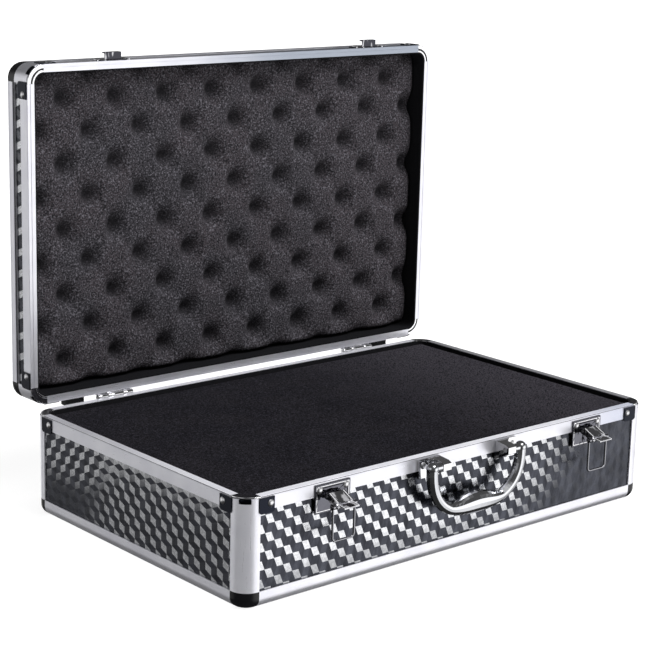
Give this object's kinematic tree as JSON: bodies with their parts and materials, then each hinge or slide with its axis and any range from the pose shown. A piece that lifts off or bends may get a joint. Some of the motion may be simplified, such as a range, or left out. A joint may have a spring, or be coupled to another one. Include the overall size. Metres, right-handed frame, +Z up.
{
  "type": "hard carry case",
  "caption": "Aluminium-framed hard carry case with a hinged lid, foam-lined trays, draw latches, a drop handle and capped corners, standing open.",
  "frame": {"origin": "centre of the base's footprint, on the face that the case stands on", "axes": "+X along the case's width, to the right as seen from the front; +Y from the front, with the latches, to the back, with the hinges; +Z up. The lid stands open at 90 degrees at rest"},
  "size_m": [0.4644, 0.357, 0.3933],
  "materials": {
    "patterned_panel": "gloss",
    "satin_aluminium": "satin",
    "black_cap": "gloss",
    "dark_chrome": "polished",
    "bright_chrome": "polished",
    "bright_steel": "satin",
    "grip_chrome": "polished",
    "black_lining": "matte",
    "foam": "matte",
    "rubber_foot": "matte"
  },
  "bodies": {
    "base": {"base_bottom_panel": "patterned_panel", "base_front_panel": "patterned_panel", "base_back_panel": "patterned_panel", "base_left_panel": "patterned_panel", "base_right_panel": "patterned_panel", "base_edge_front": "satin_aluminium", "base_edge_back": "satin_aluminium", "base_edge_left": "satin_aluminium", "base_edge_right": "satin_aluminium", "base_rim_front": "satin_aluminium", "base_rim_back": "satin_aluminium", "base_rim_left": "satin_aluminium", "base_rim_right": "satin_aluminium", "base_corner_posts": "satin_aluminium", "base_corner_caps": "black_cap", "base_rim_corners": "bright_chrome", "base_corner_plates": "dark_chrome", "base_liner": "black_lining", "base_foam": "foam", "base_rivets": "bright_steel", "base_back_feet": "rubber_foot", "handle_bracket_left": "bright_chrome", "handle_bracket_right": "bright_chrome", "latch_plate_left": "dark_chrome", "latch_plate_right": "dark_chrome", "latch_lever_pins": "bright_steel", "hinge_base_leaves": "bright_chrome", "hinge_pins": "bright_steel"},
    "lid": {"lid_top_panel": "patterned_panel", "lid_front_panel": "patterned_panel", "lid_back_panel": "patterned_panel", "lid_left_panel": "patterned_panel", "lid_right_panel": "patterned_panel", "lid_edge_front": "satin_aluminium", "lid_edge_back": "satin_aluminium", "lid_edge_left": "satin_aluminium", "lid_edge_right": "satin_aluminium", "lid_rim_front": "satin_aluminium", "lid_rim_back": "satin_aluminium", "lid_rim_left": "satin_aluminium", "lid_rim_right": "satin_aluminium", "lid_corner_posts": "satin_aluminium", "lid_corner_caps": "black_cap", "lid_rim_corners": "bright_chrome", "lid_corner_plates": "dark_chrome", "lid_liner": "black_lining", "lid_foam": "foam", "lid_rivets": "bright_steel", "lid_back_feet": "rubber_foot", "latch_strike_left": "bright_chrome", "latch_strike_right": "bright_chrome", "hinge_lid_leaves": "bright_chrome"},
    "handle": {"handle_grip": "grip_chrome", "handle_pins": "bright_steel"},
    "lever_left": {"latch_lever_left": "bright_chrome"},
    "lever_right": {"latch_lever_right": "bright_chrome"},
    "bail_pin_left": {"bail_pin_left": "bright_steel"},
    "bail_pin_right": {"bail_pin_right": "bright_steel"},
    "bail_left": {"latch_bail_left": "bright_chrome"},
    "bail_right": {"latch_bail_right": "bright_chrome"}
  },
  "joints": [
    {"name": "lid_hinge", "type": "hinge", "parent": "base", "child": "lid", "pos_m": [0, 0.1495, 0.0902], "axis": [1, 0, 0], "range_deg": [0, 90]},
    {"name": "handle_swing", "type": "hinge", "parent": "base", "child": "handle", "pos_m": [0.0035, -0.15845, 0.083], "axis": [-1, 0, 0], "range_deg": [-4, 165]},
    {"name": "lever_swing_left", "type": "hinge", "parent": "base", "child": "lever_left", "pos_m": [-0.1435, -0.1502, 0.0784], "axis": [1, 0, 0], "range_deg": [-40, 64]},
    {"name": "bail_pin_turn_left", "type": "hinge", "parent": "lever_left", "child": "bail_pin_left", "pos_m": [-0.1435, -0.16054, 0.07336], "axis": [1, 0, 0], "range_deg": [-64, 40]},
    {"name": "bail_swing_left", "type": "hinge", "parent": "bail_pin_left", "child": "bail_left", "pos_m": [-0.1435, -0.16054, 0.07336], "axis": [-1, 0, 0], "range_deg": [-15, 180]},
    {"name": "lever_swing_right", "type": "hinge", "parent": "base", "child": "lever_right", "pos_m": [0.1505, -0.1502, 0.0784], "axis": [1, 0, 0], "range_deg": [-40, 64]},
    {"name": "bail_pin_turn_right", "type": "hinge", "parent": "lever_right", "child": "bail_pin_right", "pos_m": [0.1505, -0.16054, 0.07336], "axis": [1, 0, 0], "range_deg": [-64, 40]},
    {"name": "bail_swing_right", "type": "hinge", "parent": "bail_pin_right", "child": "bail_right", "pos_m": [0.1505, -0.16054, 0.07336], "axis": [-1, 0, 0], "range_deg": [-15, 180]}
  ],
  "couplings": [
    {"joint": "bail_pin_turn_left", "follows": "lever_swing_left", "ratio": -1},
    {"joint": "bail_pin_turn_right", "follows": "lever_swing_right", "ratio": -1}
  ]
}
